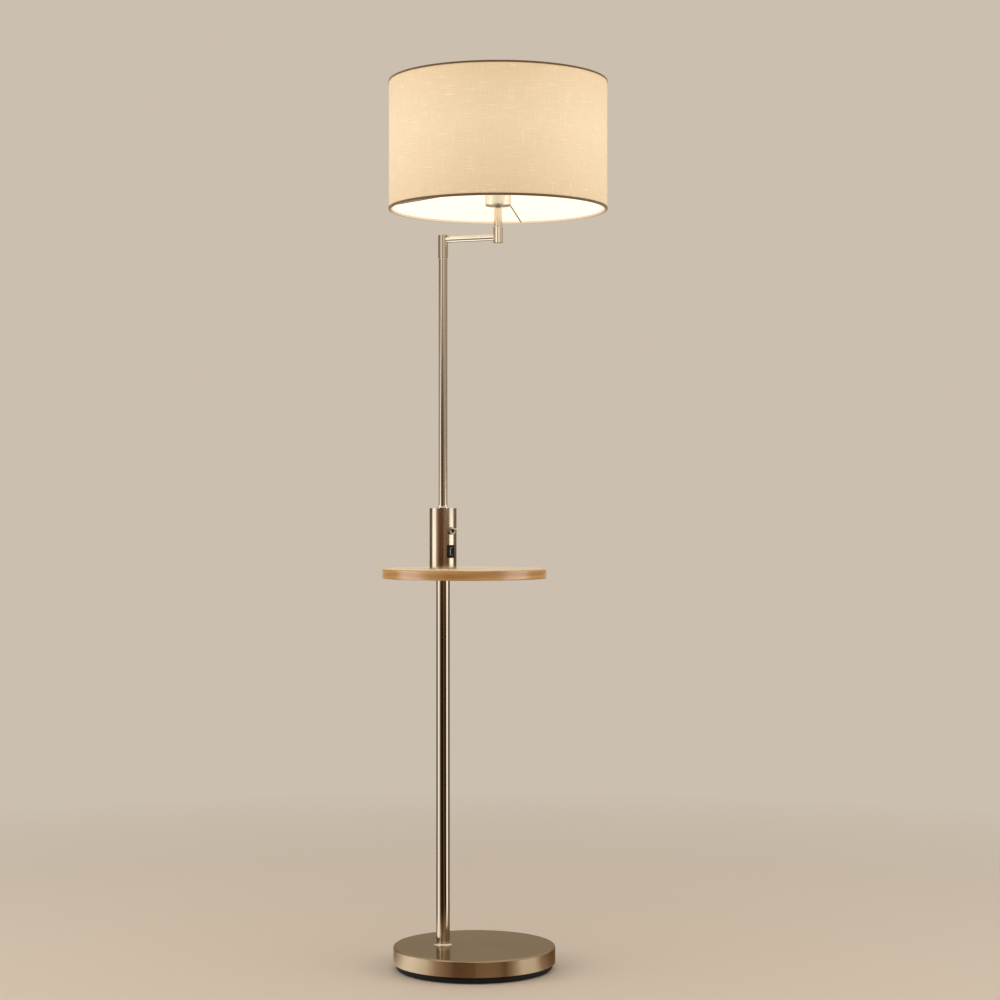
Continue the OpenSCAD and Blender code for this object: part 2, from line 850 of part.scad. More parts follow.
module arm_pivot() {
    color(steel) on_arm(pole_top_z)
        pivot_pin(
            upper_pole_d / 2 - upper_pole_wall - fit_gap, upper_plug_l, arm_pivot_l,
            knuckle_z - pole_top_z + stop_screw_rise, 0
        );
}

module slide_washer(tube_d) {
    color("#e8e2d2") ring(tube_d / 2 - slide_washer_inset, pivot_hole_r, slide_washer_h);
}

module arm_washer() {
    on_pole(pole_top_z) slide_washer(upper_pole_d);
}

// A spigot along +X that the arm's end slides over.
module spigot(start_r) {
    rotate([0, 90, 0]) cylinder(r = spigot_r, h = start_r + spigot_l);
}

module spigot_bore(start_r) {
    rotate([0, 90, 0]) cylinder(r = spigot_bore_r, h = start_r + spigot_l + past);
}

module arm_knuckle() {
    arm_level = arm_z - knuckle_z;
    color(satin) on_arm(knuckle_z) difference() {
        union() {
            turned_bar(knuckle_d / 2, knuckle_h);
            translate([0, 0, arm_level]) spigot(knuckle_d / 2);
        }
        translate([0, 0, -past]) cylinder(r = pivot_hole_r, h = arm_pivot_l + past);
        cylinder(r = lead_bore_r, h = arm_level + lead_bore_r);
        translate([0, 0, arm_level]) spigot_bore(knuckle_d / 2);
        translate([0, 0, stop_screw_rise]) rotate([0, -90, 0])
            cylinder(d = stop_screw_d + 2 * fit_gap, h = knuckle_d);
        translate([0, 0, arm_level]) at_arm_screw() cylinder(d = arm_screw_d + 2 * fit_gap, h = arm_d);
    }
}

// +Z points outwards through the small screw near the arm's end.
module at_arm_screw() {
    translate([arm_screw_along, 0, 0]) rotate([90 - arm_screw_lift, 0, 0]) children();
}

module arm_tube() {
    color(satin) on_arm(arm_z) difference() {
        rotate([0, 90, 0]) ring(arm_d / 2, arm_d / 2 - arm_wall, arm_reach);
        translate([0, 0, -arm_d]) cylinder(r = knuckle_d / 2 + slide_gap, h = 2 * arm_d);
        translate([arm_reach, 0, -arm_d]) cylinder(r = sleeve_d / 2 + slide_gap, h = 2 * arm_d);
        at_arm_screw() cylinder(d = arm_screw_d + 2 * fit_gap, h = arm_d);
    }
}

module arm_screw() {
    l = arm_d / 2 - arm_screw_start_r;
    color(steel) on_arm(arm_z) at_arm_screw() translate([0, 0, arm_screw_start_r]) difference() {
        cylinder(d = arm_screw_d, h = l);
        translate([0, 0, l - screw_socket_h]) hexagon(arm_screw_d / 2, screw_socket_h + past);
    }
}

module arm_sleeve() {
    color(satin) on_shade(arm_z) difference() {
        union() {
            translate([0, 0, -sleeve_below]) turned_bar(sleeve_d / 2, sleeve_below + sleeve_above);
            rotate([0, 0, 180]) spigot(sleeve_d / 2);
        }
        translate([0, 0, sleeve_above - shade_pivot_l]) cylinder(r = pivot_hole_r, h = shade_pivot_l + past);
        translate([0, 0, -lead_bore_r]) cylinder(r = lead_bore_r, h = sleeve_above + lead_bore_r);
        rotate([0, 0, 180]) spigot_bore(sleeve_d / 2);
        translate([0, 0, sleeve_above - stop_screw_drop]) rotate([0, 90, 0])
            cylinder(d = stop_screw_d + 2 * fit_gap, h = sleeve_d);
    }
}

// A headless screw along +X whose tip rides in a pivot's groove.
module stop_screw(outer_r) {
    l = outer_r - stop_screw_sunk - stop_screw_tip_r;
    rotate([0, 90, 0]) translate([0, 0, stop_screw_tip_r]) difference() {
        cylinder(d = stop_screw_d, h = l);
        translate([0, 0, l - screw_socket_h]) hexagon(screw_socket_w, screw_socket_h + past);
    }
}

module stop_screws() {
    color(steel) {
        on_arm(knuckle_z + stop_screw_rise) rotate([0, 0, 180]) stop_screw(knuckle_d / 2);
        on_shade(sleeve_top_z - stop_screw_drop) stop_screw(sleeve_d / 2);
    }
}

// ---- Lampholder ----

module shade_washer() {
    on_shade(sleeve_top_z) slide_washer(stub_d);
}

module shade_pivot() {
    color(steel) on_shade(stub_z) mirror([0, 0, 1])
        pivot_pin(
            stub_d / 2 - stub_wall - fit_gap, stub_root_l, shade_pivot_l,
            stub_z - sleeve_top_z + stop_screw_drop, 180
        );
}

module stub_tube() {
    color(satin) on_shade(stub_z) ring(stub_d / 2, stub_d / 2 - stub_wall, stub_l);
}

module stub_plug() {
    color(steel) on_shade(holder_thread_z)
        ring(stub_d / 2 - stub_wall - fit_gap, tapped_r, stub_plug_l);
}

module holder_thread() {
    color("#5c5650") on_shade(holder_thread_z)
        ring(thread_d / 2, thread_bore_d / 2, barrel_z - holder_thread_z);
}

module lampholder_cup() {
    color(bright) on_shade(cup_z) difference() {
        translate([0, 0, cup_h]) mirror([0, 0, 1]) rotate_extrude() difference() {
            top_rounded_section(cup_r, cup_h, cup_edge_r);
            translate([0, -past])
                top_rounded_section(cup_r - cup_wall, cup_h - cup_wall + past, cup_edge_r - cup_wall);
        }
        translate([0, 0, -past]) cylinder(r = hole_r, h = 2 * past + cup_wall);
    }
}

module cup_nut() {
    color(steel) on_shade(cup_z + cup_wall) nut(nut_width, tapped_r, nut_h);
}

module lampholder_barrel() {
    top_z = cup_top_z + barrel_up;
    color(white) on_shade(barrel_z) difference() {
        union() {
            cylinder(r = barrel_r, h = top_z - barrel_z);
            translate([0, 0, cup_top_z - barrel_z]) cylinder(r = cup_r, h = flange_h);
        }
        translate([0, 0, barrel_floor_h]) cylinder(r = barrel_bore_r, h = top_z);
        translate([0, 0, -past]) cylinder(d = thread_bore_d, h = top_z);
    }
}

// The spring strip under the bulb's tip: a foot, a riser and a tongue to the middle.
module holder_contacts() {
    strip_w = 5;
    strip_h = 0.6;
    foot_x = thread_bore_d / 2 + 1;
    foot_l = 6;
    top_z = contact_space - slide_gap;
    color("#c9a24a") on_shade(contact_z) translate([0, -strip_w / 2, 0]) {
        translate([foot_x, 0, 0]) cube([foot_l, strip_w, strip_h]);
        translate([foot_x, 0, 0]) cube([strip_h, strip_w, top_z]);
        translate([-strip_w / 2, 0, top_z - strip_h]) cube([foot_x + strip_h + strip_w / 2, strip_w, strip_h]);
    }
}

module clamp_nut() {
    color(white) on_shade(clamp_nut_z) difference() {
        rotate_extrude() rounded_section(clamp_nut_d / 2, clamp_nut_h, 1);
        translate([0, 0, -past]) cylinder(r = barrel_r + fit_gap, h = clamp_nut_h + 2 * past);
        for (i = [0:clamp_groove_count - 1])
            rotate([0, 0, i * 360 / clamp_groove_count])
                translate([clamp_nut_d / 2 + clamp_groove_d / 5, 0, -past])
                    cylinder(d = clamp_groove_d, h = clamp_nut_h + 2 * past);
    }
}

// ---- Bulb ----

module bulb_cap() {
    top_z = cap_tip_h + cap_h;
    core_r = cap_r - cap_thread_r / 2;
    shoulder_z = cap_tip_h + cap_shoulder_h;
    first_turn_z = shoulder_z + 1;
    pitch = (top_z - first_turn_z) / cap_turns;
    color("#cfc9bd") on_shade(cap_z) rotate_extrude() {
        polygon([
            [0, 0], [cap_tip_r, 0], [cap_tip_r + 1, cap_tip_h],
            [core_r - 1, shoulder_z - cap_shoulder_h / 2], [core_r, shoulder_z], [core_r, top_z], [0, top_z]
        ]);
        for (i = [0:cap_turns - 1])
            translate([cap_r - cap_thread_r, first_turn_z + i * pitch]) circle(r = cap_thread_r, $fn = 24);
    }
}

module bulb_neck() {
    flare = neck_top_r - neck_r;
    height = neck_top_z - neck_z - fit_gap;
    color(white) on_shade(neck_z) rotate_extrude() polygon([
        [0, 0],
        for (a = [0:neck_step:90]) [neck_r + flare * (1 - cos(a)), height * sin(a)],
        [0, height]
    ]);
}

module bulb_globe() {
    color("#fffaf0") difference() {
        on_shade(globe_z) sphere(r = bulb_r);
        on_shade(neck_top_z - bulb_d) cylinder(r = bulb_d, h = bulb_d);
    }
}

// ---- Shade ----

module wire_ring(wire_r) {
    rotate_extrude() translate([ring_r, 0]) circle(r = wire_r, $fn = 32);
}

module rod_between(a, b, d) {
    v = b - a;
    translate(a) rotate([0, acos(v[2] / norm(v)), atan2(v[1], v[0])]) cylinder(d = d, h = norm(v));
}

// The three wires from the hub ring down to the lower ring.
module spider_wires(d) {
    drop = hub_z + hub_h - spider_wire_d / 2 - lower_ring_z;
    on_shade(lower_ring_z) for (i = [0:spider_count - 1])
        rotate([0, 0, spider_angle + arm_angle + i * 360 / spider_count])
            rod_between([hub_d / 2 - spider_wire_d, 0, drop], [ring_r, 0, 0], d);
}

module shade_spider() {
    color(bright) difference() {
        union() {
            on_shade(hub_z) cylinder(d = hub_d, h = hub_h);
            spider_wires(spider_wire_d);
        }
        on_shade(hub_z - hub_rise) cylinder(r = barrel_r + fit_gap, h = 2 * hub_rise);
        // The arms are welded against the ring.
        on_shade(lower_ring_z) wire_ring(ring_wire_r + weld_gap);
    }
}

module shade_lower_ring() {
    color(bright) on_shade(lower_ring_z) wire_ring(ring_wire_r);
}

module shade_upper_ring() {
    color(bright) on_shade(upper_ring_z) wire_ring(ring_wire_r);
}

module shade_lining() {
    color("#fff8ea") on_shade(shade_z + binding_sheet + layer_gap)
        ring(lining_r, lining_bore_r, shade_h - 2 * binding_sheet - 2 * layer_gap);
}

module shade_fabric() {
    color("#e6cda6") on_shade(shade_z + binding_sheet + layer_gap)
        ring(shade_r, shade_r - fabric_h, shade_h - 2 * binding_sheet - 2 * layer_gap);
}

// The folded tape over an edge, open upwards.
module binding() {
    rotate_extrude() difference() {
        translate([binding_bore_r, 0]) square([binding_r - binding_bore_r, binding_h]);
        translate([binding_bore_r + binding_sheet, binding_sheet])
            square([binding_r - binding_bore_r - 2 * binding_sheet, binding_h]);
    }
}

module shade_lower_binding() {
    color("#7d6a5c") difference() {
        on_shade(shade_z) binding();
        spider_wires(spider_wire_d + 4 * layer_gap);
    }
}

module shade_upper_binding() {
    color("#7d6a5c") on_shade(shade_top_z) mirror([0, 0, 1]) binding();
}

foot_pad();
bottom_plate();
plate_screws();
base_weight();
base_cover();
cable_inlet();
base_washer();
base_nut();
base_thread();
foot_collar();
pole_foot_plug();
lower_pole();
pole_head_plug();
table_thread();
table_top();
housing_floor();
housing_nut();
housing_tube();
housing_lid();
top_collar();
switch_body();
switch_bush();
switch_ring_nut();
switch_lever();
socket_frame();
socket_shell();
socket_tongue();
socket_contacts();
power_unit();
upper_pole_plug();
upper_pole();
arm_pivot();
arm_washer();
arm_knuckle();
arm_tube();
arm_sleeve();
arm_screw();
stop_screws();
shade_washer();
shade_pivot();
stub_tube();
stub_plug();
holder_thread();
lampholder_cup();
cup_nut();
lampholder_barrel();
holder_contacts();
clamp_nut();
bulb_cap();
bulb_neck();
bulb_globe();
shade_spider();
shade_lower_ring();
shade_upper_ring();
shade_lining();
shade_fabric();
shade_lower_binding();
shade_upper_binding();
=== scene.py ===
import json
import math

import bmesh
import bpy
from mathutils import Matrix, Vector, noise

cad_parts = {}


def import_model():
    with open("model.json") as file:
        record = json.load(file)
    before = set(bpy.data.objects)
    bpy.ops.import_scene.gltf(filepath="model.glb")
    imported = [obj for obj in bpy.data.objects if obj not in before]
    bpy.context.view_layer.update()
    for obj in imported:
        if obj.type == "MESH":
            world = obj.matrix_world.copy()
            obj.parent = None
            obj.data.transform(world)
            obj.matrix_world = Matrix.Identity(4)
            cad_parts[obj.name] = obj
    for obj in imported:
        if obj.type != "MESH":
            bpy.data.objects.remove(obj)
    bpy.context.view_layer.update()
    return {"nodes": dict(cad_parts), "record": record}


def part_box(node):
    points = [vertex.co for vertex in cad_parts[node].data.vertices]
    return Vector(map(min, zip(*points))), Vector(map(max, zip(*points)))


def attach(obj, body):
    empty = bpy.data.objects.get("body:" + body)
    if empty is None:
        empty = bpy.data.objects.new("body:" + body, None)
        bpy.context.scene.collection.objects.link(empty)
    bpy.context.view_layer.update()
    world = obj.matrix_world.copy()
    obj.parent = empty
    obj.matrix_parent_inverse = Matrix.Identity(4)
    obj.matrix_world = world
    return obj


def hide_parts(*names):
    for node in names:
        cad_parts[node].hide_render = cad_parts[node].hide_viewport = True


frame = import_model()
cad = frame["nodes"]
MM = 0.001


# ---- Places taken from the frame ----

def middle(node):
    low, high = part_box(node)
    return (low + high) / 2


POLE = middle("lower_pole")
BASE = middle("base_cover")
BASE_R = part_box("base_cover")[1].x - BASE.x
SHADE = middle("shade_lining")
FABRIC_LOW, FABRIC_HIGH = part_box("shade_fabric")
SHADE_R = (FABRIC_HIGH.x - FABRIC_LOW.x) / 2
TABLE_LOW, TABLE_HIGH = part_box("table_top")
TABLE = (TABLE_LOW + TABLE_HIGH) / 2
TABLE_R = (TABLE_HIGH.x - TABLE_LOW.x) / 2


# ---- Material helpers ----

class Tree:
    """The nodes of one material or world, with short calls for the kinds that are used here."""

    def __init__(self, tree):
        self.nodes = tree.nodes
        self.links = tree.links

    def fill(self, socket, value):
        if isinstance(value, bpy.types.NodeSocket):
            self.links.new(value, socket)
        else:
            socket.default_value = value

    def add(self, kind, inputs, **settings):
        node = self.nodes.new("ShaderNode" + kind)
        for key, value in settings.items():
            setattr(node, key, value)
        for key, value in inputs.items():
            self.fill(node.inputs[key], value)
        return node

    def math(self, operation, *values):
        return self.add("Math", dict(enumerate(values)), operation=operation).outputs[0]

    def wave(self, place, pitch):
        """A wave from -1 to 1 along a coordinate, which comes again after each pitch."""
        return self.math("SINE", self.math("MULTIPLY", place, 2.0 * math.pi / pitch))

    def length(self, vector):
        return self.add("VectorMath", {0: vector}, operation="LENGTH").outputs["Value"]

    def position(self, centre=(0, 0, 0)):
        """Place on the object in metres, counted from centre."""
        coords = self.add("TexCoord", {}).outputs["Object"]
        offset = self.add("VectorMath", {0: coords, 1: tuple(centre)}, operation="SUBTRACT")
        return offset.outputs[0]

    def split(self, vector):
        return self.add("SeparateXYZ", {0: vector}).outputs

    def join(self, x, y, z=0.0):
        return self.add("CombineXYZ", {0: x, 1: y, 2: z}).outputs[0]

    def stretch(self, vector, scale):
        return self.add("VectorMath", {0: vector, 1: scale}, operation="MULTIPLY").outputs[0]

    def noise(self, vector, scale, detail=3.0, roughness=0.55, distortion=0.0):
        inputs = {
            "Vector": vector, "Scale": scale, "Detail": detail,
            "Roughness": roughness, "Distortion": distortion,
        }
        return self.add("TexNoise", inputs).outputs["Fac"]

    def cells(self, vector, scale):
        return self.add("TexVoronoi", {"Vector": vector, "Scale": scale}).outputs["Distance"]

    def remap(self, value, low, high, to_low=0.0, to_high=1.0):
        inputs = {0: value, 1: low, 2: high, 3: to_low, 4: to_high}
        return self.add("MapRange", inputs).outputs[0]

    def mix(self, share, first, second, blend="MIX"):
        node = self.add("Mix", {0: share}, data_type="RGBA", blend_type=blend)
        self.fill(node.inputs[6], first)
        self.fill(node.inputs[7], second)
        return node.outputs[2]

    def ramp(self, value, stops):
        node = self.add("ValToRGB", {0: value})
        elements = node.color_ramp.elements
        while len(elements) < len(stops):
            elements.new(0.5)
        for element, (place, colour) in zip(elements, stops):
            element.position = place
            element.color = colour
        return node.outputs[0]

    def bump(self, height, distance):
        return self.add("Bump", {"Height": height, "Distance": distance}).outputs[0]

    def turned(self, centre, around, across):
        """Coordinates whose grain runs round the upright axis through centre, as lathe marks do."""
        place = self.split(self.position(centre))
        flat = self.join(place[0], place[1])
        way = self.add("VectorMath", {0: flat}, operation="NORMALIZE").outputs[0]
        step = self.math("MULTIPLY", self.math("ADD", self.length(flat), place[2]), across)
        ring = self.stretch(way, (around, around, 0.0))
        rise = self.join(0.0, 0.0, step)
        return self.add("VectorMath", {0: ring, 1: rise}, operation="ADD").outputs[0]


def rgb(r, g, b):
    return (r, g, b, 1.0)


def scaled(colour, share):
    """The colour times share, but no brighter than white."""
    return rgb(*(min(1.0, c * share) for c in colour))


def material(name, **constants):
    """A new material: its nodes, and its shader with the constants set on the sockets."""
    made = bpy.data.materials.new(name)
    made.use_nodes = True
    shader = made.node_tree.nodes["Principled BSDF"]
    for key, value in constants.items():
        shader.inputs[key.replace("_", " ")].default_value = value
    return made, Tree(made.node_tree), shader.inputs


# ---- Metals ----

EDGE_TINT = rgb(0.61, 0.55, 0.46)
# How far smudges and lathe marks spread the roughness of turned metal.
SMUDGE_SPREAD = 0.03
MARK_SPREAD = 0.02


def brushed_metal(name, centre, colour, rough, grain, anisotropic, bump=0.000004, **options):
    """Turned and brushed metal. The lathe marks run round the upright axis through centre. bump is
    in metres, and the options are constants of the shader."""
    constants = {"Anisotropic_Rotation": 0.25, "Specular_Tint": EDGE_TINT, **options}
    made, tree, shader = material(name, Metallic=1.0, Anisotropic=anisotropic, **constants)
    marks = tree.noise(tree.turned(centre, 3.0, grain), 1.0, 4.0, 0.7)
    smudges = tree.noise(tree.position(), 9.0, 1.0, 0.5)
    tree.fill(shader["Base Color"], tree.mix(marks, scaled(colour, 0.92), scaled(colour, 1.06)))
    from_smudges = tree.math("MULTIPLY", smudges, SMUDGE_SPREAD)
    spread = tree.math("ADD", from_smudges, tree.math("MULTIPLY", marks, MARK_SPREAD))
    least = rough - (SMUDGE_SPREAD + MARK_SPREAD) / 2
    tree.fill(shader["Roughness"], tree.math("ADD", spread, least))
    tree.fill(shader["Normal"], tree.bump(marks, bump))
    tangent = tree.add("Tangent", {}, direction_type="RADIAL", axis="Z").outputs[0]
    tree.fill(shader["Tangent"], tangent)
    return made


def plain_metal(name, colour, rough, variation, scale=90.0, bump=0.00003):
    """Cast, plated or rolled metal without a direction."""
    made, tree, shader = material(name, Metallic=1.0)
    coarse = tree.noise(tree.position(), scale, 4.0, 0.6)
    fine = tree.noise(tree.position(), scale * 14.0, 2.0, 0.6)
    dark = scaled(colour, 1.0 - variation)
    light = scaled(colour, 1.0 + variation)
    tree.fill(shader["Base Color"], tree.mix(coarse, dark, light))
    tree.fill(shader["Roughness"], tree.remap(coarse, 0.3, 0.7, rough * 0.8, rough * 1.25))
    tree.fill(shader["Normal"], tree.bump(fine, bump))
    return made


# ---- Wood ----

VENEER = 1.2 * MM
VENEER_FADE = 0.4 * MM


def wood():
    """Oak under satin lacquer: flat-sawn grain on the faces, a band of veneer round the edge."""
    made, tree, shader = material(
        "wood_oak", Coat_Weight=1.0, Coat_Roughness=0.25, Coat_IOR=1.9, Coat_Tint=rgb(1.0, 0.92, 0.74),
        Sheen_Weight=0.5, Sheen_Roughness=0.3, Sheen_Tint=rgb(1.0, 0.88, 0.66),
    )
    place = tree.position(TABLE)
    parts = tree.split(place)
    angle = tree.math("ARCTAN2", parts[1], parts[0])
    band = tree.join(tree.math("MULTIPLY", angle, TABLE_R), parts[2])
    normal = tree.split(tree.add("NewGeometry", {}).outputs["Normal"])
    on_edge = tree.remap(tree.math("ABSOLUTE", normal[2]), 0.55, 0.6, 1.0, 0.0)
    along = tree.mix(on_edge, place, band)
    rings = tree.noise(tree.stretch(along, (0.9, 15.0, 26.0)), 1.0, 3.0, 0.55, 0.3)
    lines = tree.remap(tree.math("SINE", tree.math("MULTIPLY", rings, 52.0)), -1.0, 1.0)
    fibre = tree.noise(tree.stretch(along, (26.0, 900.0, 900.0)), 1.0, 3.0, 0.7)
    pores = tree.noise(tree.stretch(along, (60.0, 1500.0, 1500.0)), 1.0, 1.0)
    pores = tree.remap(pores, 0.62, 0.72)
    grain = tree.math("ADD", tree.math("MULTIPLY", lines, 0.55), tree.math("MULTIPLY", fibre, 0.45))
    colour = tree.ramp(grain, [
        (0.12, rgb(0.330, 0.160, 0.038)), (0.40, rgb(0.430, 0.225, 0.062)),
        (0.64, rgb(0.490, 0.272, 0.082)), (0.90, rgb(0.560, 0.340, 0.118)),
    ])
    colour = tree.mix(tree.math("MULTIPLY", pores, 0.4), colour, rgb(0.26, 0.135, 0.045))
    # The edges of the faces' veneer show as thin, darker strips above and below the band.
    veneer = TABLE_HIGH.z - TABLE.z - VENEER
    strips = tree.remap(tree.math("ABSOLUTE", parts[2]), veneer - VENEER_FADE, veneer)
    strips = tree.math("MULTIPLY", strips, on_edge)
    colour = tree.mix(tree.math("MULTIPLY", strips, 0.35), colour, rgb(0.26, 0.15, 0.07))
    tree.fill(shader["Base Color"], colour)
    tree.fill(shader["Roughness"], tree.remap(grain, 0.2, 0.8, 0.5, 0.36))
    relief = tree.math("SUBTRACT", tree.math("MULTIPLY", fibre, 0.5), pores)
    tree.fill(shader["Normal"], tree.bump(relief, 0.00006))
    return made


# ---- Cloth, felt and plastics ----

# From one thread to the next, in the linen and in the tape.
LINEN_PITCH = 1.1 * MM
TAPE_PITCH = 0.9 * MM
# The painted glow's colours change from this far below the shade's middle to as far above it.
PAINTED_GLOW_REACH = 116 * MM
# How deep behind the linen's face the painted bulb light on the tape is full, and how deep it begins.
TAPE_PAINTED_LIGHT_FULL = 5.2 * MM
TAPE_PAINTED_LIGHT_START = 2.2 * MM


def way_round(tree, place):
    """Metres round the shade, as if its cloth lay flat. They start again at the seam at the back."""
    angle = tree.math("ARCTAN2", place[0], tree.math("MULTIPLY", place[1], -1.0))
    return tree.math("MULTIPLY", angle, SHADE_R)


def linen():
    """Slub linen. The bulb's light through it is painted as emission: a painted glow that follows the
    height and the threads.
    """
    made, tree, shader = material("linen_slub", Sheen_Weight=0.12, Sheen_Roughness=0.5)
    place = tree.split(tree.position(SHADE))
    along = way_round(tree, place)
    up = place[2]
    cloth = tree.join(along, up)
    weft = tree.noise(tree.stretch(cloth, (26.0, 400.0, 1.0)), 1.0, 3.0, 0.65)
    warp = tree.noise(tree.stretch(cloth, (480.0, 24.0, 1.0)), 1.0, 3.0, 0.65)
    slubs = tree.math("MAXIMUM", tree.remap(weft, 0.585, 0.68), tree.remap(warp, 0.61, 0.72))
    crossing = tree.math("MULTIPLY", tree.wave(along, LINEN_PITCH), tree.wave(up, LINEN_PITCH))
    weave = tree.remap(crossing, -1.0, 1.0)
    patches = tree.noise(cloth, 14.0, 3.0, 0.5)
    threads = tree.math("ADD", tree.math("MULTIPLY", weft, 0.5), tree.math("MULTIPLY", warp, 0.5))
    tone = tree.remap(threads, 0.36, 0.64)
    colour = tree.mix(tone, rgb(0.565, 0.495, 0.385), rgb(0.610, 0.540, 0.425))
    colour = tree.mix(tree.math("MULTIPLY", slubs, 0.8), colour, rgb(0.80, 0.72, 0.60))
    colour = tree.mix(tree.math("MULTIPLY", weave, 0.08), colour, rgb(0.45, 0.35, 0.24))
    tree.fill(shader["Base Color"], colour)
    tree.fill(shader["Roughness"], tree.remap(threads, 0.3, 0.7, 0.95, 0.8))
    # Painted light: the bulb's glow through the cloth, brightest a little above the middle, painted as
    # emission.
    glow = tree.ramp(tree.remap(up, -PAINTED_GLOW_REACH, PAINTED_GLOW_REACH), [
        (0.0, rgb(0.76, 0.66, 0.48)), (0.25, rgb(0.90, 0.86, 0.78)),
        (0.55, rgb(1.04, 1.04, 1.04)), (0.80, rgb(0.94, 0.91, 0.84)), (1.0, rgb(0.84, 0.72, 0.50)),
    ])
    # Painted light: the glow's colour, paler on the slubs and darker in patches.
    lit = tree.mix(tone, rgb(0.345, 0.236, 0.112), rgb(0.385, 0.268, 0.135))
    lit = tree.mix(tree.math("MULTIPLY", patches, 0.35), lit, rgb(0.315, 0.212, 0.105))
    lit = tree.mix(slubs, lit, rgb(0.450, 0.335, 0.195))
    tree.fill(shader["Emission Color"], tree.mix(1.0, lit, glow, "MULTIPLY"))
    shader["Emission Strength"].default_value = 1.0
    relief = tree.math("ADD", tree.math("MULTIPLY", slubs, 1.4), tree.math("MULTIPLY", weave, 0.3))
    relief = tree.math("ADD", relief, tree.math("MULTIPLY", threads, 0.6))
    tree.fill(shader["Normal"], tree.bump(relief, 0.00028))
    return made


def woven_tape():
    """The tape that is folded over the shade's edges. Its dark brown is painted shade, for the rolled
    edge that no glow comes through, and the bulb's light on its inner side is painted as emission.
    """
    made, tree, shader = material(
        "woven_tape", Sheen_Weight=0.6, Sheen_Roughness=0.35, Sheen_Tint=rgb(0.95, 0.76, 0.55)
    )
    place = tree.split(tree.position(SHADE))
    along = way_round(tree, place)
    ribs = tree.remap(tree.wave(along, TAPE_PITCH), -1.0, 1.0)
    tape = tree.stretch(tree.join(along, place[2]), (120.0, 900.0, 1.0))
    threads = tree.noise(tape, 1.0, 3.0, 0.6)
    # Painted shade: the tape's dark brown stands in for the shade of the rolled edge.
    colour = tree.mix(threads, rgb(0.105, 0.064, 0.034), rgb(0.200, 0.130, 0.074))
    colour = tree.mix(tree.math("MULTIPLY", ribs, 0.25), colour, rgb(0.08, 0.055, 0.04))
    tree.fill(shader["Base Color"], colour)
    tree.fill(shader["Roughness"], tree.remap(threads, 0.3, 0.7, 0.95, 0.8))
    relief = tree.math("ADD", tree.math("MULTIPLY", ribs, 0.6), threads)
    tree.fill(shader["Normal"], tree.bump(relief, 0.00012))
    radius = tree.length(tree.join(place[0], place[1]))
    # Painted light: the bulb's light on the tape's inner side, as emission.
    inside = tree.remap(radius, SHADE_R - TAPE_PAINTED_LIGHT_FULL, SHADE_R - TAPE_PAINTED_LIGHT_START, 1.0, 0.0)
    lit = tree.mix(threads, rgb(0.66, 0.52, 0.35), rgb(0.82, 0.68, 0.50))
    tree.fill(shader["Emission Color"], tree.mix(inside, rgb(0.0, 0.0, 0.0), lit))
    shader["Emission Strength"].default_value = 1.0
    return made


def lining():
    """White paper-like laminate on the inside of the shade. The bulb's light on it is painted as
    patchy emission.
    """
    made, tree, shader = material("lining_white")
    fibres = tree.noise(tree.position(), 420.0, 4.0, 0.6)
    patches = tree.noise(tree.position(), 9.0, 2.0)
    colour = tree.mix(fibres, rgb(0.72, 0.68, 0.60), rgb(0.80, 0.77, 0.70))
    tree.fill(shader["Base Color"], colour)
    tree.fill(shader["Roughness"], tree.remap(fibres, 0.3, 0.7, 0.75, 0.55))
    # Painted light: the bulb's light on the lining, as emission.
    lit = tree.mix(patches, rgb(0.53, 0.485, 0.405), rgb(0.59, 0.545, 0.465))
    tree.fill(shader["Emission Color"], lit)
    shader["Emission Strength"].default_value = 1.0
    tree.fill(shader["Normal"], tree.bump(fibres, 0.00003))
    return made


def opal(name, glow, strength):
    """Frosted, cloudy white of the lit bulb: its glow's colour and its strength. On the bulb's neck,
    which is no lamp, this glow is painted light.
    """
    made, tree, shader = material(name, Coat_Weight=0.3, Coat_Roughness=0.15)
    cloud = tree.noise(tree.position(), 60.0, 3.0)
    tree.fill(shader["Base Color"], tree.mix(cloud, rgb(0.84, 0.80, 0.72), rgb(0.90, 0.87, 0.80)))
    tree.fill(shader["Roughness"], tree.remap(cloud, 0.3, 0.7, 0.35, 0.25))
    tree.fill(shader["Emission Color"], tree.mix(cloud, scaled(glow, 0.93), rgb(*glow)))
    shader["Emission Strength"].default_value = strength
    tree.fill(shader["Normal"], tree.bump(tree.noise(tree.position(), 900.0, 2.0), 0.00001))
    return made


def plastic(name, dark, light, rough):
    """Moulded plastic with a fine grain, paler and smoother where it has been handled."""
    made, tree, shader = material(name)
    skin = tree.noise(tree.position(), 1400.0, 2.0, 0.6)
    handled = tree.noise(tree.position(), 45.0, 5.0, 0.65)
    colour = tree.mix(tree.remap(handled, 0.35, 0.75), rgb(*dark), rgb(*light))
    tree.fill(shader["Base Color"], colour)
    spread = tree.math("MULTIPLY", tree.math("SUBTRACT", handled, 0.5), -0.16)
    tree.fill(shader["Roughness"], tree.math("ADD", spread, rough))
    tree.fill(shader["Normal"], tree.bump(skin, 0.00004))
    return made


def matt_black():
    """Powder-coated sheet and fine-grained plastic, so matt that they stay black in side light."""
    made, tree, shader = material("black_matt", Specular_IOR_Level=0.2)
    grain = tree.noise(tree.position(), 1100.0, 3.0, 0.6)
    dust = tree.noise(tree.position(), 55.0, 4.0, 0.6)
    # The near-black colour is partly the parts' own black and partly painted shade, for the shadow
    # under the base.
    tree.fill(shader["Base Color"], tree.mix(dust, rgb(0.006, 0.006, 0.006), rgb(0.013, 0.012, 0.011)))
    tree.fill(shader["Roughness"], tree.remap(grain, 0.3, 0.7, 0.8, 0.62))
    tree.fill(shader["Normal"], tree.bump(grain, 0.00003))
    return made


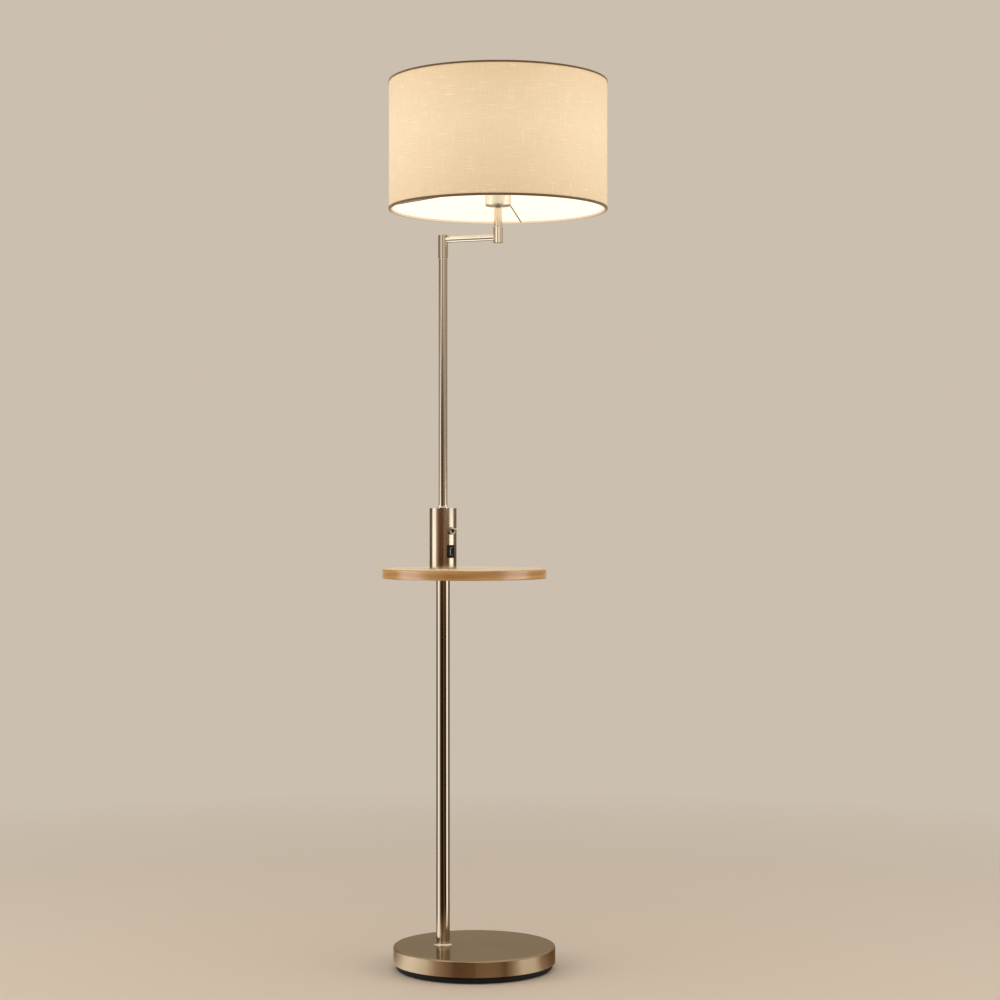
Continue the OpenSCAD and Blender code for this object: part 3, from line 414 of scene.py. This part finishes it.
def felt():
    """Black pressed felt: loose fuzz over clumped wool."""
    made, tree, shader = material("felt_black", Sheen_Weight=0.06, Sheen_Roughness=0.6)
    fuzz = tree.noise(tree.position(), 900.0, 5.0, 0.75)
    clumps = tree.noise(tree.position(), 120.0, 4.0, 0.6)
    # The near-black colour is partly the felt's own black and partly painted shade, for the shadow
    # under the base.
    tree.fill(shader["Base Color"], tree.mix(fuzz, rgb(0.008, 0.008, 0.008), rgb(0.032, 0.030, 0.028)))
    tree.fill(shader["Roughness"], tree.remap(clumps, 0.3, 0.7, 0.98, 0.88))
    relief = tree.math("ADD", fuzz, tree.math("MULTIPLY", clumps, 0.7))
    tree.fill(shader["Normal"], tree.bump(relief, 0.0003))
    return made


def cast_filling():
    """Grey cement-like filling with coarse grains and lighter patches."""
    made, tree, shader = material("cast_filling")
    grains = tree.cells(tree.position(), 420.0)
    patches = tree.noise(tree.position(), 30.0, 5.0, 0.6)
    tree.fill(shader["Base Color"], tree.mix(patches, rgb(0.20, 0.19, 0.175), rgb(0.33, 0.315, 0.29)))
    tree.fill(shader["Roughness"], tree.remap(patches, 0.3, 0.7, 0.95, 0.8))
    tree.fill(shader["Normal"], tree.bump(grains, 0.0003))
    return made


NICKEL = (0.470, 0.385, 0.290)
DARK_NICKEL = (0.355, 0.280, 0.195)
BRIGHT = (0.720, 0.650, 0.555)
# Lighter copies of the same nickel for the parts under and inside the shade: painted light of the
# glowing shade and lining on them.
PAINTED_LIT_NICKEL = (0.740, 0.625, 0.490)
ARM_PAINTED_LIT_NICKEL = (0.800, 0.720, 0.610)
CUP_PAINTED_LIT_NICKEL = (0.920, 0.860, 0.740)

FINISHES = {
    "base": brushed_metal(
        "nickel_base", BASE, DARK_NICKEL, 0.18, 2600.0, 0.93,
        Coat_Weight=0.35, Coat_Roughness=0.03, Coat_Tint=rgb(1.0, 0.90, 0.70),
        Specular_Tint=rgb(0.50, 0.45, 0.35),
    ),
    "satin": brushed_metal("nickel_satin", POLE, NICKEL, 0.15, 2200.0, 0.7, Anisotropic_Rotation=0.0),
    "polished": brushed_metal("nickel_polished", POLE, NICKEL, 0.09, 2200.0, 0.4, bump=0.0000005),
    "shade_axis_painted_lit": brushed_metal("nickel_holder_painted_lit", SHADE, PAINTED_LIT_NICKEL, 0.12, 2200.0, 0.4, bump=0.0000005),
    "cup": brushed_metal("nickel_cup_painted_lit", SHADE, CUP_PAINTED_LIT_NICKEL, 0.42, 2200.0, 0.5, bump=0.000002),
    "arm": plain_metal("nickel_arm_painted_lit", ARM_PAINTED_LIT_NICKEL, 0.12, 0.04, 60.0, 0.000002),
    "bright": plain_metal("nickel_bright", BRIGHT, 0.09, 0.03, 60.0, 0.000002),
    "wire": plain_metal("wire_plated", (0.34, 0.30, 0.26), 0.25, 0.08, 200.0, 0.00001),
    "steel": plain_metal("steel_zinc", (0.52, 0.52, 0.51), 0.34, 0.12, 260.0),
    "lever": plain_metal("lever_dark", (0.360, 0.310, 0.250), 0.22, 0.08, 90.0, 0.00001),
    "brass": plain_metal("brass_contacts", (0.66, 0.47, 0.20), 0.25, 0.08),
    "wood": wood(),
    "linen": linen(),
    "tape": woven_tape(),
    "lining": lining(),
    "felt": felt(),
    "filling": cast_filling(),
    "black": plastic("plastic_black", (0.020, 0.019, 0.018), (0.034, 0.032, 0.030), 0.42),
    "white": plastic("plastic_white", (0.74, 0.71, 0.65), (0.80, 0.77, 0.71), 0.34),
    "nylon": plastic("nylon_natural", (0.66, 0.62, 0.52), (0.74, 0.70, 0.60), 0.45),
    "bulb": opal("bulb_opal", (1.0, 0.86, 0.62), 1.0),
    "matt_black": matt_black(),
    "grey": plastic("plastic_tongue", (0.300, 0.280, 0.300), (0.360, 0.340, 0.355), 0.4),
    # Painted light: the globe's light on the neck, as a weak emission.
    "neck": opal("bulb_neck_painted_glow", (0.55, 0.46, 0.32), 0.35),
}

SLOT_FINISH = {
    "satin_metal": "satin", "bright_metal": "bright", "steel": "steel", "lever_metal": "lever",
    "black_plastic": "black", "felt": "felt", "cast_filling": "filling", "wood": "wood",
    "white_plastic": "white", "nylon": "nylon", "brass": "brass", "bulb_shell": "bulb",
    "lining": "lining", "linen": "linen", "binding": "tape", "wire": "wire",
}
NODE_FINISH = {
    "base_cover": "base", "lower_pole": "polished", "upper_pole": "polished",
    "arm_knuckle": "polished", "arm_tube": "arm", "arm_sleeve": "shade_axis_painted_lit",
    "stub_tube": "shade_axis_painted_lit", "lampholder_cup": "cup", "bulb_neck": "neck",
    "holder_thread": "lever", "socket_tongue": "grey", "socket_frame": "matt_black",
    "bottom_plate": "matt_black", "switch_ring_nut": "lever", "switch_bush": "lever",
    "switch_lever": "bright",
}


def dress_cad():
    """Gives every CAD node its finish."""
    for part in frame["record"]["subparts"]:
        node = part["node"]
        finish = NODE_FINISH.get(node, SLOT_FINISH[part["material_slot"]])
        mesh = cad[node].data
        mesh.materials.clear()
        mesh.materials.append(FINISHES[finish])


# ---- Modelled pieces ----

def new_object(name, bm, surface):
    """An object of one material. It takes its mesh from bm and frees it."""
    mesh = bpy.data.meshes.new(name)
    bm.to_mesh(mesh)
    bm.free()
    mesh.materials.append(surface)
    made = bpy.data.objects.new(name, mesh)
    bpy.context.scene.collection.objects.link(made)
    return made


def lathe(name, centre, outline, angles, finish, body, wander):
    """A closed outline of (radius, height) points turned round the upright axis through centre.
    wander(angle, index) gives (outwards, upwards), added to each point in metres."""
    bm = bmesh.new()
    rows = []
    for angle in angles:
        row = []
        for index, (radius, height) in enumerate(outline):
            out, up = wander(angle, index)
            r = radius + out
            x = centre.x + r * math.sin(angle)
            y = centre.y - r * math.cos(angle)
            row.append(bm.verts.new((x, y, height + up)))
        rows.append(row)
    for row, following in zip(rows, rows[1:] + rows[:1]):
        for k in range(len(outline)):
            n = (k + 1) % len(outline)
            bm.faces.new((row[k], following[k], following[n], row[n]))
    bmesh.ops.recalc_face_normals(bm, faces=bm.faces)
    piece = new_object(name, bm, FINISHES[finish])
    piece.data.shade_smooth()
    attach(piece, body)
    return piece


def even_angles(count, extra=()):
    """Angles from the back round to the back, with extra ones where a form needs them."""
    angles = [-math.pi + (i + 0.5) * 2.0 * math.pi / count for i in range(count)]
    return sorted(angles + list(extra))


def ring_noise(angle, radius, height):
    """Noise on a circle, so that it meets itself at the back. A wider circle gives finer waves."""
    return noise.noise(Vector((math.sin(angle) * radius, math.cos(angle) * radius, height)))


LINEN_STEPS = 360
LINEN_ROWS = 40
# The gap between the linen and its lining. Its face lies as far inside the solid's, on average.
CLEAR = 0.05 * MM
RIPPLE = 0.09 * MM
SEAM_W = 12 * MM
SEAM_RISE = 0.45 * MM
# Half the seam and the slope at its edge, as angles.
SEAM_HALF = SEAM_W / 2 / SHADE_R
SEAM_SLOPE = 0.6 * MM / SHADE_R


def seam_angles():
    """The angles that give the lap seam its form, three on each side of the back."""
    away = [SEAM_SLOPE, SEAM_HALF, SEAM_HALF + SEAM_SLOPE]
    return [math.pi - a for a in away] + [a - math.pi for a in away]


def seam_share(angle):
    """1 on the lap of the seam, 0 beside it."""
    beyond = math.pi - abs(angle) - SEAM_HALF
    return min(1.0, max(0.0, 1.0 - beyond / SEAM_SLOPE))


def shade_linen():
    """The linen, with its lap seam at the back and the faint waves that glued cloth keeps."""
    low, high = FABRIC_LOW.z, FABRIC_HIGH.z
    inside = middle("shade_fabric").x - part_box("shade_lining")[0].x + CLEAR
    outer = [(SHADE_R, low + (high - low) * i / LINEN_ROWS) for i in range(LINEN_ROWS + 1)]
    inner = [(inside, high), (inside, low)]

    def wander(angle, index):
        if index > LINEN_ROWS:
            return 0.0, 0.0
        z = outer[index][1]
        # Both fade out towards the edges, which the bindings hold.
        from_edge = min(index, LINEN_ROWS - index) / LINEN_ROWS
        waves = ring_noise(angle, 9.0, z * 26.0) + 0.5 * ring_noise(angle, 34.0, z * 90.0)
        ripple = waves * RIPPLE * min(1.0, from_edge * 8.0)
        lap = seam_share(angle) * SEAM_RISE * min(1.0, from_edge * 12.0)
        return lap + ripple - CLEAR, 0.0

    angles = even_angles(LINEN_STEPS, seam_angles())
    piece = lathe("shade_linen", SHADE, outer + inner, angles, "linen", "shade", wander)
    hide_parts("shade_fabric")
    return piece


TAPE_STEPS = 288
TAPE_FOLD_STEPS = 8
TAPE_INNER_R = 194.15 * MM
TAPE_THICK = 0.6 * MM
# The legs' height as a share of the solid's, and the fold's as a share of a round one.
TAPE_LEG = 0.78
TAPE_SQUAT = 0.30
TAPE_WANDER = 0.25 * MM


def tape_fold(centre_r, half_w, start):
    """Points round the fold, from its outer side to its inner one, as (radius, way in)."""
    turns = [math.pi * step / TAPE_FOLD_STEPS for step in range(TAPE_FOLD_STEPS + 1)]
    return [
        (centre_r + half_w * math.cos(a), start + half_w * TAPE_SQUAT * (1.0 - math.sin(a)))
        for a in turns
    ]


def tape_section(outer, leg):
    """The folded tape's cross-section as (radius, way in from the fold): its face from the outer
    free edge round to the inner one, and its back the other way."""
    inner = TAPE_INNER_R
    centre_r = (outer + inner) / 2
    half_w = (outer - inner) / 2
    face = tape_fold(centre_r, half_w, 0.0)
    back = tape_fold(centre_r, half_w - TAPE_THICK, TAPE_THICK)[::-1]
    return (
        [(outer, leg), (outer, leg * 0.55)] + face + [(inner, leg * 0.55), (inner, leg)]
        + [(inner + TAPE_THICK, leg), (inner + TAPE_THICK, leg * 0.5)] + back
        + [(outer - TAPE_THICK, leg * 0.5), (outer - TAPE_THICK, leg)]
    )


def binding_piece(node):
    """The tape folded over one edge of the shade. Its two free edges wander a little."""
    low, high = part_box(node)
    upper = node == "shade_upper_binding"
    fold_z, inwards, noise_z = (high.z, -1.0, 3.0) if upper else (low.z, 1.0, 7.0)
    leg = TAPE_LEG * (high.z - low.z)
    section = tape_section((high.x - low.x) / 2, leg)
    outline = [(radius, fold_z + inwards * way_in) for radius, way_in in section]

    def wander(angle, index):
        if section[index][1] < leg:
            return 0.0, 0.0
        return 0.0, -inwards * TAPE_WANDER * abs(ring_noise(angle, 14.0, noise_z))

    name = node.replace("shade_", "") + "_tape"
    piece = lathe(name, SHADE, outline, even_angles(TAPE_STEPS), "tape", "shade", wander)
    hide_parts(node)
    return piece


FELT_STEPS = 180
FELT_SOFT = 0.5 * MM
FELT_HOLE_R = 2 * MM
FELT_WANDER = 0.4 * MM


def felt_pad():
    """The felt disc under the base, cut by hand, so its rim wanders a little."""
    low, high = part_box("foot_pad")
    r = (high.x - low.x) / 2
    rim_r = r - FELT_SOFT
    round_r = r - 0.2 * FELT_SOFT
    outline = [
        (FELT_HOLE_R, low.z), (r * 0.5, low.z), (r - 4 * FELT_SOFT, low.z),
        (rim_r, low.z + 0.1 * FELT_SOFT), (round_r, low.z + FELT_SOFT),
        (r, low.z + (high.z - low.z) * 0.5), (round_r, high.z - FELT_SOFT),
        (rim_r, high.z), (r * 0.5, high.z), (FELT_HOLE_R, high.z),
    ]

    def wander(angle, index):
        if outline[index][0] < rim_r:
            return 0.0, 0.0
        return -FELT_WANDER * abs(ring_noise(angle, 8.0, 0.0)), 0.0

    piece = lathe("foot_felt", BASE, outline, even_angles(FELT_STEPS), "felt", "stand", wander)
    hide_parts("foot_pad")


# ---- Floor, lights and camera ----

PALE = rgb(0.600, 0.520, 0.430)
FLOOR = rgb(0.600, 0.510, 0.415)
EVEN = rgb(0.560, 0.545, 0.520)
DUSK = rgb(0.030, 0.016, 0.006)
STRIPE = rgb(0.260, 0.175, 0.105)
EMBER = rgb(0.270, 0.146, 0.070)
SAND = rgb(0.660, 0.490, 0.360)
SHINE = rgb(1.300, 1.200, 1.100)
BROWN = rgb(0.280, 0.115, 0.028)
CLAY = rgb(0.640, 0.400, 0.250)
EARTH = rgb(0.400, 0.250, 0.145)
SHADY = rgb(0.150, 0.105, 0.075)
HAZE = rgb(0.100, 0.075, 0.050)
MIST = rgb(0.280, 0.240, 0.195)
SHOULDER = rgb(0.420, 0.370, 0.310)
WALL = rgb(0.630, 0.610, 0.600)
GLOW = rgb(1.200, 1.060, 0.880)
PANEL = rgb(1.850, 1.880, 1.900)
WINDOW = rgb(2.700, 2.750, 2.750)
SUNNY = rgb(3.300, 3.500, 3.400)
CEILING = rgb(0.900, 0.800, 0.660)
# What stands round the lamp, by the angle from the camera's side, which is negative on the left.
# Each view is what the metal sees between two heights, as sines of the angle above level.
ROUND = [
    (-1.0, -0.06, [
        (-180, PALE), (-165, PALE), (-142, HAZE), (-104, HAZE), (-97, PANEL), (-64, PANEL),
        (-56, SHOULDER), (-32, DUSK), (7, DUSK), (10, STRIPE), (19, STRIPE), (24, DUSK), (56, DUSK),
        (62, PANEL), (94, PANEL), (102, HAZE), (142, HAZE), (165, PALE), (180, PALE),
    ]),
    (-0.035, -0.002, [
        (-180, PALE), (-168, PALE), (-145, MIST), (-106, MIST), (-98, WINDOW), (-68, WINDOW),
        (-58, GLOW), (-46, SAND), (-38, EARTH), (-28, BROWN), (4, BROWN), (9, CLAY), (15, CLAY),
        (20, BROWN), (54, BROWN), (64, SUNNY), (96, SUNNY), (104, MIST), (145, MIST), (168, PALE),
        (180, PALE),
    ]),
    (0.006, 0.05, [
        (-180, PALE), (-145, PALE), (-125, HAZE), (-102, HAZE), (-96, PANEL), (-64, PANEL),
        (-58, SHOULDER), (-50, SHADY), (14, SHADY), (22, WALL), (100, WALL), (106, SHOULDER),
        (125, SHOULDER), (145, PALE), (180, PALE),
    ]),
    (0.10, 1.0, [
        (-180, PALE), (-125, SHOULDER), (-64, SHOULDER), (-54, PANEL), (-34, PANEL), (-28, SHOULDER),
        (-14, SHOULDER), (-4, GLOW), (34, GLOW), (46, WALL), (125, WALL), (145, PALE), (180, PALE),
    ]),
]
# The height above which the metal begins to see the ceiling, and that where it sees nothing else.
CEILING_START = 0.28
CEILING_FULL = 0.50
# What the base's side sees in the floor near it, by the same angles.
NEAR = [
    (-180, PALE), (-158, EARTH), (-130, SAND), (-102, PANEL), (-90, PANEL), (-66, SHINE), (-52, SAND),
    (-38, EARTH), (-27, EMBER), (2, EMBER), (4, EARTH), (32, EARTH), (44, EMBER), (54, SAND),
    (68, SHINE), (86, SHINE), (98, SAND), (118, EARTH), (145, EMBER), (165, PALE), (180, PALE),
]


def bearing(tree, right, back):
    """The angle round the lamp, from 0 at the back over the left and the front to 1."""
    angle = tree.math("ARCTAN2", right, tree.math("MULTIPLY", back, -1.0))
    return tree.math("ADD", tree.math("DIVIDE", angle, 2.0 * math.pi), 0.5)


def view_round(tree, turn, stops):
    """The colours of a view at the place turn, from 0 to 1. Its stops are given in degrees."""
    return tree.ramp(turn, [((angle + 180.0) / 360.0, colour) for angle, colour in stops])


def studio(tree, way):
    """What the metal sees in the direction way: a pale backdrop behind the lamp, a bright panel on
    each side, and a dark brown room in front, which is lit from the shade upwards."""
    parts = tree.split(way)
    turn = bearing(tree, parts[0], parts[1])
    _, below, stops = ROUND[0]
    room = view_round(tree, turn, stops)
    for low, high, stops in ROUND[1:]:
        room = tree.mix(tree.remap(parts[2], below, low), room, view_round(tree, turn, stops))
        below = high
    return tree.mix(tree.remap(parts[2], CEILING_START, CEILING_FULL), room, CEILING)


FLOOR_R = 30.0
FLOOR_SIDES = 96
# Distances on the floor, in metres: where the camera sees it turn into the backdrop, where the
# metal begins to see the studio in it, and where what is near gives way to the room beyond.
BACKDROP = (0.6, 2.6)
MIRRORED = (BASE_R + 5 * MM, BASE_R + 15 * MM)
NEAR_TO_FAR = (0.4, 0.6)
# The height of the view that the far floor shows: a little below level.
FAR_VIEW = -0.1


def floor_mirrored(tree, place, away):
    """What the metal sees in the floor."""
    parts = tree.split(place)
    far = studio(tree, tree.join(parts[0], parts[1], FAR_VIEW))
    # The base's side is curved, so what it mirrors seems to come from half its radius behind it.
    behind = tree.math("ADD", parts[1], BASE_R / 2)
    near = view_round(tree, bearing(tree, parts[0], behind), NEAR)
    return tree.mix(tree.remap(away, *NEAR_TO_FAR), near, far)


def floor_material():
    """Plain and pale. Far from the lamp it takes the backdrop's colour for the camera, and outside
    the base it shows the studio to the metal."""
    made, tree, shader = material("floor_pale", Base_Color=FLOOR)
    place = tree.position()
    speckle = tree.noise(place, 240.0, 3.0)
    tree.fill(shader["Roughness"], tree.remap(speckle, 0.3, 0.7, 0.75, 0.65))
    away = tree.length(place)
    path = tree.add("LightPath", {}).outputs
    seen = tree.math("MULTIPLY", tree.remap(away, *BACKDROP), path["Is Camera Ray"])
    mirrored = tree.math("MULTIPLY", tree.remap(away, *MIRRORED), path["Is Glossy Ray"])
    plain = tree.nodes["Principled BSDF"].outputs[0]
    backdrop = tree.add("Emission", {"Color": PALE}).outputs[0]
    around = tree.add("Emission", {"Color": floor_mirrored(tree, place, away)}).outputs[0]
    to_camera = tree.add("MixShader", {0: seen, 1: plain, 2: backdrop}).outputs[0]
    surface = tree.add("MixShader", {0: mirrored, 1: to_camera, 2: around}).outputs[0]
    tree.fill(tree.nodes["Material Output"].inputs["Surface"], surface)
    return made


def floor():
    bm = bmesh.new()
    bmesh.ops.create_circle(bm, cap_ends=True, segments=FLOOR_SIDES, radius=FLOOR_R)
    piece = new_object("floor", bm, floor_material())


def world():
    """An even, pale light for the camera and for dull surfaces, and the studio for the metal."""
    made = bpy.data.worlds.new("studio")
    bpy.context.scene.world = made
    made.use_nodes = True
    tree = Tree(made.node_tree)
    around = studio(tree, tree.add("TexCoord", {}).outputs["Generated"])
    path = tree.add("LightPath", {}).outputs
    lit = tree.mix(path["Is Diffuse Ray"], around, EVEN)
    seen = tree.mix(path["Is Camera Ray"], lit, PALE)
    background = made.node_tree.nodes["Background"]
    tree.fill(background.inputs["Color"], seen)


WARM = (1.0, 0.93, 0.84)


def softbox(name, place, target, width, height, radiance):
    """A rectangular lamp of even brightness, turned towards target. The metal shows the studio's
    panels in its place."""
    data = bpy.data.lights.new(name, "AREA")
    data.shape = "RECTANGLE"
    data.size = width
    data.size_y = height
    data.energy = radiance * math.pi * width * height
    data.color = WARM
    lamp = bpy.data.objects.new(name, data)
    lamp.location = place
    lamp.rotation_euler = (Vector(target) - Vector(place)).to_track_quat("-Z", "Y").to_euler()
    lamp.visible_glossy = False
    bpy.context.scene.collection.objects.link(lamp)


def lights():
    """Places and sizes in metres. The left lamp is a little brighter than the right one."""
    middle_up = (0.0, 0.0, 0.9)
    table_up = (0.0, 0.0, 0.7)
    softbox("softbox_left", (-2.5, -0.6, 1.3), middle_up, width=2.2, height=2.4, radiance=2.2)
    softbox("softbox_right", (2.5, -0.7, 1.3), middle_up, width=2.2, height=2.4, radiance=2.0)
    softbox("softbox_top", (0.0, -0.6, 3.4), table_up, width=1.8, height=1.8, radiance=1.6)
    softbox("softbox_front", (0.4, -5.2, 2.6), middle_up, width=2.4, height=1.6, radiance=0.9)


# The camera's place in metres, its lens and sensor in millimetres, and the picture's shift as a
# share of its width.
EYE = (0.0475, -4.13, 0.848)
LENS = 80.28
SENSOR = 36.0
SHIFT = 0.01
# The camera sees to the end of the floor.
SIGHT = 100.0


def camera():
    """Level, at the height and distance from which the photograph's ellipses come out."""
    data = bpy.data.cameras.new("camera")
    data.sensor_width = SENSOR
    data.lens = LENS
    data.shift_y = SHIFT
    data.clip_end = SIGHT
    made = bpy.data.objects.new("camera", data)
    made.location = EYE
    made.rotation_euler = (math.radians(90.0), 0.0, 0.0)
    bpy.context.scene.collection.objects.link(made)
    bpy.context.scene.camera = made


camera()
dress_cad()
linen_piece = shade_linen()
bindings = [binding_piece("shade_lower_binding"), binding_piece("shade_upper_binding")]
felt_pad()
floor()
world()
lights()
bpy.context.scene.view_settings.view_transform = "Standard"
